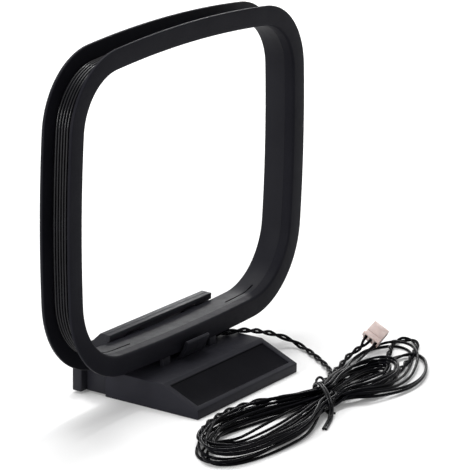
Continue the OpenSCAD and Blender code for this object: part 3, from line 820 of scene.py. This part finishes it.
frontFrame = makeFrontFrame()
rearFrame = makeRearFrame()
print("loop mouldings made")

# the winding

winding = {
    "turns": 8, "wire": 0.78, "inset": 4.4,      # the wire lies on the channel's wall
    "firstDepth": 1.34, "pitch": 0.895,
    "wander": 0.05, "wanderOver": 24, "seed": 7,     # how far a turn strays, and over what length
    "station": 1.6, "sides": 10, "crease": 60,
    "endGap": 0.05, "endStep": 0.4,  # the ends pass this far below the turns
}


def windingTree():                   # one turn of the outline becomes turns side by side, as one helix
    tree = bpy.data.node_groups.new("wound_wire", "GeometryNodeTree")
    for name, kind in (("Outline", "NodeSocketGeometry"), ("Turns", "NodeSocketInt"),
                       ("Pitch", "NodeSocketFloat"), ("Wire Radius", "NodeSocketFloat"),
                       ("Wander", "NodeSocketFloat"), ("Seed", "NodeSocketFloat"),
                       ("Material", "NodeSocketMaterial")):
        tree.interface.new_socket(name=name, in_out="INPUT", socket_type=kind)
    tree.interface.new_socket(name="Wire", in_out="OUTPUT", socket_type="NodeSocketGeometry")
    into = addNode(tree, "NodeGroupInput")
    curve = addNode(tree, "GeometryNodeMeshToCurve", {}, {"Mesh": into.outputs["Outline"]})
    turns = addNode(tree, "GeometryNodeDuplicateElements", {"domain": "SPLINE"}, {
        "Geometry": curve.outputs["Curve"], "Amount": into.outputs["Turns"]})
    part = addNode(tree, "GeometryNodeSplineParameter")
    along = addNode(tree, "ShaderNodeMath", {"operation": "ADD"}, {
        0: turns.outputs["Duplicate Index"], 1: part.outputs["Factor"]})
    depth = addNode(tree, "ShaderNodeMath", {"operation": "MULTIPLY"}, {
        0: along.outputs[0], 1: into.outputs["Pitch"]})
    seed = addNode(tree, "ShaderNodeMath", {"operation": "ADD"}, {
        0: along.outputs[0], 1: into.outputs["Seed"]})
    place = addNode(tree, "GeometryNodeInputPosition")
    noise = addNode(tree, "ShaderNodeTexNoise", {"noise_dimensions": "4D"}, {
        "Vector": place.outputs[0], "W": seed.outputs[0], "Scale": 1 / (winding["wanderOver"] * mm),
        "Detail": 1})
    centred = addNode(tree, "ShaderNodeVectorMath", {"operation": "SUBTRACT"}, {
        0: noise.outputs["Color"], 1: (0.5, 0.5, 0.5)})
    wander = addNode(tree, "ShaderNodeVectorMath", {"operation": "SCALE"}, {
        0: centred.outputs[0], "Scale": into.outputs["Wander"]})
    shift = addNode(tree, "ShaderNodeCombineXYZ", {}, {"Y": depth.outputs[0]})
    both = addNode(tree, "ShaderNodeVectorMath", {"operation": "ADD"}, {
        0: shift.outputs[0], 1: wander.outputs[0]})
    moved = addNode(tree, "GeometryNodeSetPosition", {}, {
        "Geometry": turns.outputs["Geometry"], "Offset": both.outputs[0]})
    ring = addNode(tree, "GeometryNodeCurvePrimitiveCircle", {}, {
        "Resolution": winding["sides"], "Radius": into.outputs["Wire Radius"]})
    wire = addNode(tree, "GeometryNodeCurveToMesh", {}, {
        "Curve": moved.outputs["Geometry"], "Profile Curve": ring.outputs["Curve"]})
    merged = addNode(tree, "GeometryNodeMergeByDistance", {}, {
        "Geometry": wire.outputs["Mesh"], "Distance": 0.02 * mm})
    real = addNode(tree, "GeometryNodeRealizeInstances", {}, {"Geometry": merged.outputs["Geometry"]})
    done = addNode(tree, "GeometryNodeSetMaterial", {}, {
        "Geometry": real.outputs["Geometry"], "Material": into.outputs["Material"]})
    addNode(tree, "NodeGroupOutput", {}, {"Wire": done.outputs["Geometry"]})
    return tree


def makeTurns():
    places = outlinePlaces(winding["station"])
    places.append(places[0])         # back to where the turn began
    points = []
    for place in places:
        x, z = ringPoint(place, winding["inset"])
        points.append((x * mm, (loop["frontY"] + winding["firstDepth"]) * mm, z * mm))
    mesh = bpy.data.meshes.new("turns_outline")
    mesh.from_pydata(points, [(i, i + 1) for i in range(len(points) - 1)], [])
    turnsPiece = bpy.data.objects.new("turns_outline", mesh)
    bpy.context.scene.collection.objects.link(turnsPiece)
    tree = windingTree()
    modifier = turnsPiece.modifiers.new("wound_wire", "NODES")
    modifier.node_group = tree
    values = {"Turns": winding["turns"], "Pitch": winding["pitch"] * mm,
              "Wire Radius": winding["wire"] / 2 * mm, "Wander": 2 * winding["wander"] * mm,
              "Seed": float(winding["seed"]), "Material": windingPvc}
    for item in tree.interface.items_tree:
        if item.item_type == "SOCKET" and item.in_out == "INPUT" and item.name in values:
            modifier[item.identifier] = values[item.name]
    return bakeModifiers(turnsPiece)


def makeWindingEnds():               # the two ends leave the turns and go down to the lead
    wallZ = loop["middleZ"] - loop["drop"] + winding["inset"]
    first = loop["frontY"] + winding["firstDepth"]
    last = first + winding["turns"] * winding["pitch"]
    out = wallZ - winding["wire"] - winding["endGap"]
    ends = [[(0.6, first, wallZ), (-0.6, first, wallZ), (-3, first + 0.1, wallZ - 0.3), (-7, 1.4, out),
             (-11, 2.6, out - 1.0)],
            [(-0.6, last, wallZ), (0.5, last, wallZ), (1.5, last - 0.2, wallZ - 0.3),
             (1.9, last - 0.9, out + 0.1), (1.0, last - 1.5, out), (-3, last - 1.9, out),
             (-8, last - 2.5, out - 0.3), (-11.4, last - 2.9, out - 1.2)]]
    routes = [curveThrough(end + [join], winding["endStep"]) for end, join in zip(ends, bridgeEnds)]
    points, faces = joinParts([tubeMesh(route, winding["wire"] / 2, winding["sides"]) for route in routes])
    return meshPiece("winding_ends", points, faces, windingPvc, winding["crease"])


def makeWinding():
    piece = joinPieces("winding_turns", [makeTurns(), makeWindingEnds()])
    smoothByAngle(piece, winding["crease"])
    return piece


windingPiece = makeWinding()
print("winding made, faces", len(windingPiece.data.polygons))

# the stand

stand = {
    "halfWidth": 24.2, "frontY": -20.0, "slopeY": -8.2, "rearY": 10.6, "lipZ": 2.7, "deckZ": 7.7,
    "wall": 1.6, "edge": 0.28,
    "recessMargin": 1.5, "recessSide": 1.9, "recessDepth": 0.6,
    "ribs": (-6.05, 6.05), "ribThick": 1.2, "ribLift": 1,
    "pads": (-11, 11), "padY": (-0.55, 7.35), "padWidth": 3, "padDepth": 1.4, "padGap": 0.1, "padEdge": 0.15,
    "sunk": 0.2,                     # how far the pads and the catch go into the deck
    "catchHalf": 5.25, "catchTop": 12.8, "catchThick": 1.0, "catchGap": 0.15, "catchEdge": 0.18,
}
pastFace = 1                         # how far a cut starts outside the face that it opens


def makeRibs(hollow):                # under the deck
    half = stand["ribThick"] / 2
    profile = [(y, max(z, stand["ribLift"])) for y, z in hollow]
    return [meshPiece("rib", *prism(profile, x - half, x + half), standAbsPaintedLight) for x in stand["ribs"]]


def makePads():                      # the upright loop rests on them, so they follow its foot's curve
    s = stand
    half = s["padWidth"] / 2
    pads = []
    for x in s["pads"]:
        for y in s["padY"]:
            top = loop["middleZ"] - loop["drop"] + x * x / (2 * loop["footRadius"]) - s["padGap"]
            profile = oblong(y, s["deckZ"] - s["sunk"], y + s["padDepth"], top)
            pad = meshPiece("pad", *prism(profile, x - half, x + half), standAbsPaintedLight)
            pads.append(roundEdges(pad, s["padEdge"]))
    return pads


def makeStandShell():
    s = stand
    slope = math.atan2(s["deckZ"] - s["lipZ"], s["slopeY"] - s["frontY"])
    shell = [(s["frontY"], 0), (s["frontY"], s["lipZ"]), (s["slopeY"], s["deckZ"]),
             (s["rearY"], s["deckZ"]), (s["rearY"], 0)]
    drop = s["wall"] / math.cos(slope)
    innerFront, innerRear = s["frontY"] + s["wall"], s["rearY"] - s["wall"]
    innerTop = s["deckZ"] - s["wall"]
    hollow = [(innerFront, -pastFace), (innerFront, s["lipZ"] + s["wall"] * math.tan(slope) - drop),
              (s["slopeY"] + s["wall"] * math.tan(slope / 2), innerTop),
              (innerRear, innerTop), (innerRear, -pastFace)]
    body = meshPiece("stand_body", *prism(shell, -s["halfWidth"], s["halfWidth"]), standAbsPaintedLight)
    length = math.hypot(s["slopeY"] - s["frontY"], s["deckZ"] - s["lipZ"])
    ahead, above = (math.cos(slope), math.sin(slope)), (-math.sin(slope), math.cos(slope))

    def onSlope(run, rise):
        return (s["frontY"] + ahead[0] * run + above[0] * rise, s["lipZ"] + ahead[1] * run + above[1] * rise)
    margin, deep = s["recessMargin"], s["recessDepth"]
    recess = [onSlope(margin, -deep), onSlope(length - margin, -deep),
              onSlope(length - margin, 2 * pastFace), onSlope(margin, 2 * pastFace)]
    panel = s["halfWidth"] - s["recessSide"]
    inner = s["halfWidth"] - s["wall"]
    cutAway(body, [prism(hollow, -inner, inner), prism(recess, -panel, panel)])
    roundEdges(body, s["edge"], segments=3, angle=20)
    body.data.materials.append(recessAbsPaintedShade)
    for face in body.data.polygons:  # the sunk panel has a smoother face, and a darker colour that is painted shade
        y, z = face.center[1] / mm, face.center[2] / mm
        sunk = (z - s["lipZ"]) * math.cos(slope) - (y - s["frontY"]) * math.sin(slope)
        under = -deep - 0.1 < sunk < -deep / 2
        if under and s["frontY"] + 1 < y < s["slopeY"] and abs(face.center[0]) < panel * mm:
            face.material_index = 1
    return joinPieces("stand_front", [body] + makeRibs(hollow) + makePads() + [makeCatch()])


def makeCatch():                     # struck about the hinge, so the loop swings past it
    s = stand
    y, z = hinge["y"], hinge["z"]
    swing = math.hypot(y - loop["frontY"], z - (loop["middleZ"] - loop["drop"])) + s["catchGap"]
    outer, radius = swing + s["catchThick"], s["catchThick"] / 2

    def level(r, height):
        return 180 + math.degrees(math.asin((z - height) / r))
    low = s["deckZ"] - s["sunk"]
    profile = arcPoints(y, z, outer, level(outer, low), level(outer, s["catchTop"]), 10)
    middle = swing + radius
    topY = y - math.sqrt(middle ** 2 - (z - s["catchTop"]) ** 2)
    profile += arcPoints(topY, s["catchTop"], radius, 165, 15, 7)
    profile += arcPoints(y, z, swing, level(swing, s["catchTop"]), level(swing, low), 10)
    catch = meshPiece("catch", *prism(profile, -s["catchHalf"], s["catchHalf"]), standAbsPaintedLight)
    return roundEdges(catch, s["catchEdge"], segments=3)


rear = {
    "halfWidth": 24.0, "frontY": 10.6, "plateY": 16.9, "rearY": 20.0, "lift": 0.6,
    "top": 17.7, "topFlat": 1.8, "fall": 4.4,    # the tower's top falls from its flat to the plate
    "wall": 1.6, "roof": 2.2, "plateWall": 0.4, "sunk": 0.05,
    "plateHalf": 26.5, "plateTop": 12.6,
    # measured from the hinge: the hooks' windows in the tower, the ledge below and the rail round the rod
    "window": 6.0, "windowBelow": 2.2, "windowBehind": 1.9, "windowAbove": 0.72,
    "ledgeFront": 0.55, "ledgeTop": 0.7, "ledgeFoot": 2.4,
    "railFront": 0.9, "railBelow": 0.85, "railAbove": 0.92, "railReach": 24.06,
    "roomBehind": 0.62, "roomBelow": 0.05,       # what the rail leaves free for the hooks
    "cutReach": 3,                   # how far the cuts for the hooks go to the front and the back
    # how far each goes into the tower
    "ledgeIn": 0.1, "railIn": 0.3, "tongueIn": 0.2,
    "tongueX": 12.1, "tongueWidth": 8, "tongueThick": 2, "tongueZ": 2, "tongueLength": 4.0,
    "towerEdge": 0.2, "plateEdge": 0.4, "railEdge": 0.12, "tongueEdge": 0.2,
}


def atHooks(profile):                # the same cut at each of the two hooks
    half = rear["window"] / 2
    return [prism(profile, x - half, x + half) for x in (-hinge["hookX"], hinge["hookX"])]


def makeTower(windows):
    r = rear
    low, front, back = r["lift"], r["frontY"], r["plateY"] + r["sunk"]
    body = [(front, low), (front, r["top"]), (front + r["topFlat"], r["top"]),
            (back, r["top"] - r["fall"]), (back, low)]
    innerFront, innerBack = front + r["wall"], r["plateY"] - r["plateWall"]
    cavity = [(innerFront, -pastFace), (innerFront, r["top"] - r["roof"]),
              (innerBack, r["top"] - r["fall"] - r["roof"]), (innerBack, -pastFace)]
    tower = meshPiece("tower", *prism(body, -r["halfWidth"], r["halfWidth"]), supportAbs)
    inner = r["halfWidth"] - r["wall"]
    cutAway(tower, [prism(cavity, -inner, inner)] + windows)
    return roundEdges(tower, r["towerEdge"], segments=3, angle=25)


def makeRail():                      # squared, nearly level with the tower's top; it holds the rod
    r = rear
    y, z = hinge["y"], hinge["z"]
    front, back = y - r["railFront"], r["frontY"] + r["railIn"]
    low, high = z - r["railBelow"], z + r["railAbove"]
    rail = meshPiece("rail", *prism([(front, low), (back, low), (back, high), (front, high)],
                                    -r["railReach"], r["railReach"]), supportAbs)
    # behind and below the rod, the hooks have room
    near, far, behind = y - r["cutReach"], y + r["cutReach"], y + r["roomBehind"]
    below, under, above = z - r["windowBelow"], z - r["roomBelow"], z + r["windowAbove"]
    cutAway(rail, atHooks([(near, below), (far, below), (far, above), (behind, above),
                           (behind, under), (near, under)]))
    return roundEdges(rail, r["railEdge"])


def makeTongues():                   # they plug into the stand's rear wall
    r = rear
    half = r["tongueWidth"] / 2
    profile = oblong(r["frontY"] - r["tongueLength"], r["tongueZ"],
                     r["frontY"] + r["tongueIn"], r["tongueZ"] + r["tongueThick"])
    tongues = []
    for x in (-r["tongueX"], r["tongueX"]):
        tongue = meshPiece("tongue", *prism(profile, x - half, x + half), supportAbs)
        tongues.append(roundEdges(tongue, r["tongueEdge"]))
    return tongues


def makeRearSupport():
    r = rear
    y, z = hinge["y"], hinge["z"]
    near, behind = y - r["cutReach"], y + r["windowBehind"]
    below, above = z - r["windowBelow"], z + r["windowAbove"]
    windows = atHooks([(near, below), (behind, below), (behind, above), (near, above)])
    tower = makeTower(windows)
    inTower = r["frontY"] + r["ledgeIn"]
    profile = [(y - r["ledgeFront"], z - r["ledgeTop"]), (inTower, z - r["ledgeFoot"]), (inTower, z)]
    ledge = meshPiece("ledge", *prism(profile, -r["halfWidth"], r["halfWidth"]), supportAbs)
    cutAway(ledge, windows)
    plate = meshPiece("plate", *prism(oblong(r["plateY"], r["lift"], r["rearY"], r["plateTop"]),
                                      -r["plateHalf"], r["plateHalf"]), supportAbs)
    roundEdges(plate, r["plateEdge"], segments=3)
    reach = hinge["rodReach"]
    rodPoints = [(x, y, z) for x in (-reach, -reach + 0.1, reach - 0.1, reach)]
    rod = meshPiece("rod", *tubeMesh(rodPoints, hinge["rod"], 40), supportAbs)
    roundEdges(rod, hinge["rodEdge"], angle=60)
    return joinPieces("stand_rear", [tower, ledge, plate, rod, makeRail()] + makeTongues())


standFront = makeStandShell()
standRear = makeRearSupport()
print("stand made")

# the plug


def plugBlock(x0, x1, y0, y1, z0, z1):       # along the plug's length, width and height
    corners = [(x, y, z) for x in (x0, x1) for y, z in ((y0, z0), (y1, z0), (y1, z1), (y0, z1))]
    return corners, [(0, 1, 2, 3), (4, 5, 6, 7), (0, 1, 5, 4), (1, 2, 6, 5), (2, 3, 7, 6), (3, 0, 4, 7)]


def makePlug():
    p = plug
    long, wide, half, high = p["length"], p["width"], p["width"] / 2, p["height"] / 2
    boreHalf, boreHigh = p["boreWidth"] / 2, p["boreHeight"] / 2
    body = meshPiece("plug_body", *plugBlock(0, long, -half, half, -high, high), plugNylon)
    tools = []
    for place in (-1, 0, 1):
        left, right = place * p["pitchOfContacts"] - boreHalf, place * p["pitchOfContacts"] + boreHalf
        tools.append(plugBlock(-pastFace, long + pastFace, left, right, -boreHigh, boreHigh))
        tools.append(plugBlock(long * p["windowFrom"], long * p["windowTo"], left, right, -p["height"], 0))
    tools.append(plugBlock(long - p["stepLength"], long + pastFace, -wide, wide,
                           high - p["stepDepth"], high + pastFace))
    tools.append(plugBlock(p["grooveFrom"], p["grooveTo"], -wide, wide,
                           high - p["grooveDepth"], high + pastFace))
    cutAway(body, tools)
    roundEdges(body, p["edge"])
    nub = meshPiece("nub", *plugBlock(p["nubFrom"], p["nubTo"], half - p["nubIn"], half + p["nubOut"],
                                      p["nubLow"], p["nubHigh"]), plugNylon)
    roundEdges(nub, p["nubEdge"])
    piece = joinPieces("plug_housing_nylon", [body, nub])
    piece.data.transform(Matrix.Scale(1 / mm, 4))        # plugFrame works in millimetres
    piece.data.transform(plugFrame())
    piece.data.transform(Matrix.Scale(mm, 4))
    smoothByAngle(piece, roundedCrease)
    return piece


plugPiece = makePlug()
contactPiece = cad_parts["plug_contacts"]
for materialSlot in contactPiece.material_slots:
    materialSlot.material = contactBrass
print("plug made")

# the tie

tie = {
    "wire": 0.72, "slant": 43, "middleX": 4.9, "middleY": -40.7,
    "halfWide": 8.7, "top": 5.3, "low": 0.45, "sides": 10, "step": 0.4, "crease": 60,
    "tail": [(-3, -48, 0.6), (-6.4, -49.4, 0.45), (-10.4, -50.9, 0.45)],
}


def makeTie():                       # a coated wire bent double, once round the waist
    t = tie
    turn = math.radians(t["slant"])
    ahead = Vector((math.sin(turn), math.cos(turn), 0))      # across the hank, to the back
    beside = Vector((math.cos(turn), -math.sin(turn), 0))
    middle = Vector((t["middleX"], t["middleY"], 0))
    wide, top, low = t["halfWide"], t["top"], t["low"]

    def at(across, height, off=0):
        return middle + ahead * (across * wide) + beside * off + Vector((0, 0, height))
    route = [Vector(p) for p in reversed(t["tail"])]
    route += [at(-0.99, 1.9), at(-0.88, 3.4), at(-0.5, 4.8), at(0, top), at(0.45, top - 0.2),
              at(0.8, top - 1.1), at(0.98, 2.9), at(0.94, 1.3), at(0.7, low + 0.1), at(0, low),
              at(-0.7, low + 0.1), at(-0.95, low + 0.5, 0.8)]
    middleLine = curveThrough(route, t["step"])
    heading = unitRows(np.gradient(middleLine, axis=0))
    flat = np.array(beside)
    sideways = unitRows(flat[None, :] - heading * (heading @ flat)[:, None])
    parts = [tubeMesh(middleLine + s * t["wire"] * 0.5 * sideways, t["wire"] / 2, t["sides"])
             for s in (-1, 1)]
    # the bend where the wire doubles back stands up as an eye
    eye = [at(0.6, top - 0.4, 0.36), at(0.72, top - 0.7, 1.2), at(0.84, top - 0.7, 2.0),
           at(0.94, top - 0.2, 1.8), at(0.95, top + 0.1, 1.0), at(0.88, top - 0.4, 0.1),
           at(0.7, top - 0.8, -0.36)]
    parts.append(tubeMesh(curveThrough(eye, 0.3), t["wire"] / 2, t["sides"]))
    points, faces = joinParts(parts)
    return meshPiece("tie", points, faces, tiePvc, t["crease"])


tiePiece = makeTie()
print("tie made")

# floor and light

studio = {
    "floorSize": 6.0,                # metres
    "floorColour": "#e6e6e6",
    "nearLift": 0.1,                 # light added to the floor for the eye alone, near the object
    "farLift": 0.65,                 # the same far off, where the lamps don't reach, so it reads as white
    "liftFrom": 150, "liftTo": 700,  # the distances from near to far, mm
    "worldFill": 0.55,               # the room's light on the object
    # each lamp's place, what it points at, its width and height, all in metres, and its power in watts
    "lamps": {
        "soft_overhead": ((0.1, 0.2, 0.8), (0, 0, 0.03), (0.5, 0.6), 4.6),
        "small_overhead": ((0.25, 0.1, 0.75), (0, -0.02, 0), (0.07, 0.07), 1.2),
        "soft_left": ((-0.85, 0.12, 0.3), (0, 0, 0.05), (0.14, 0.4), 4.4),
        "low_back": ((0.86, 0.52, 0.395), (0, -0.02, 0.01), (0.14, 0.14), 1.0),
    },
}


def seenMask(tree):                  # 1 for rays that look at the floor or backdrop
    path = addNode(tree, "ShaderNodeLightPath")
    some = addNode(tree, "ShaderNodeMath", {"operation": "ADD"}, {
        0: path.outputs["Is Camera Ray"], 1: path.outputs["Is Glossy Ray"]})
    return addNode(tree, "ShaderNodeMath", {"operation": "ADD", "use_clamp": True}, {
        0: some.outputs[0], 1: path.outputs["Is Transmission Ray"]}).outputs[0]


def makeFloor():
    half = studio["floorSize"] / 2 / mm
    material, tree = newMaterial("studio_floor")
    seen = seenMask(tree)
    matte = addNode(tree, "ShaderNodeBsdfDiffuse", {}, {"Color": hexColour(studio["floorColour"])})
    place = addNode(tree, "ShaderNodeTexCoord").outputs["Object"]
    away = addNode(tree, "ShaderNodeVectorMath", {"operation": "LENGTH"}, {0: place})
    amount = addNode(tree, "ShaderNodeMapRange", {}, {
        "Value": away.outputs["Value"], "From Min": studio["liftFrom"] * mm,
        "From Max": studio["liftTo"] * mm, "To Min": studio["nearLift"], "To Max": studio["farLift"]})
    lift = addNode(tree, "ShaderNodeMath", {"operation": "MULTIPLY"}, {0: seen, 1: amount.outputs["Result"]})
    glow = addNode(tree, "ShaderNodeEmission", {}, {"Strength": lift.outputs[0]})
    both = addNode(tree, "ShaderNodeAddShader", {}, {0: matte.outputs[0], 1: glow.outputs[0]})
    addNode(tree, "ShaderNodeOutputMaterial", {}, {"Surface": both.outputs[0]})
    corners = [(-half, -half, 0), (half, -half, 0), (half, half, 0), (-half, half, 0)]
    floor = meshPiece("studio_floor", corners, [(0, 1, 2, 3)], material)


def makeWorld():
    world = bpy.data.worlds.new("studio")
    bpy.context.scene.world = world
    world.use_nodes = True
    tree = world.node_tree
    tree.nodes.clear()
    seen = seenMask(tree)
    strength = addNode(tree, "ShaderNodeMapRange", {}, {
        "Value": seen, "To Min": studio["worldFill"], "To Max": 1.0})
    back = addNode(tree, "ShaderNodeBackground", {}, {
        "Color": (1, 1, 1, 1), "Strength": strength.outputs["Result"]})
    addNode(tree, "ShaderNodeOutputWorld", {}, {"Surface": back.outputs[0]})


def softLight(name, place, target, size, power):
    data = bpy.data.lights.new(name, "AREA")
    data.shape = "RECTANGLE"
    data.size, data.size_y = size
    data.energy = power
    lamp = bpy.data.objects.new(name, data)
    aim = Vector(target) - Vector(place)
    lamp.rotation_euler = aim.to_track_quat("-Z", "Y").to_euler()
    lamp.location = place
    bpy.context.scene.collection.objects.link(lamp)


makeFloor()
makeWorld()
for lampName, lamp in studio["lamps"].items():
    softLight(lampName, *lamp)
bpy.context.scene.view_settings.view_transform = "Standard"
print("studio set")

# bodies

for piece, body, slotName, nodes in (
        (leadPiece, "stand", "lead_wire", ("lead_run", "lead_hank", "lead_tail")),
        (tiePiece, "stand", "tie_plastic", ("hank_tie",)),
        (plugPiece, "stand", "plug_plastic", ("plug_housing",)),
        (standFront, "stand", "stand_plastic", ("stand_shell",)),
        (standRear, "stand", "support_plastic", ("rear_support",)),
        (frontFrame, "loop", "front_frame_plastic", ("front_frame",)),
        (rearFrame, "loop", "rear_frame_plastic", ("rear_frame",)),
        (windingPiece, "loop", "winding_wire", ("loop_winding",))):
    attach(piece, body)
    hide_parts(*nodes)
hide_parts("lead_bridge")
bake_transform(bridgePiece)
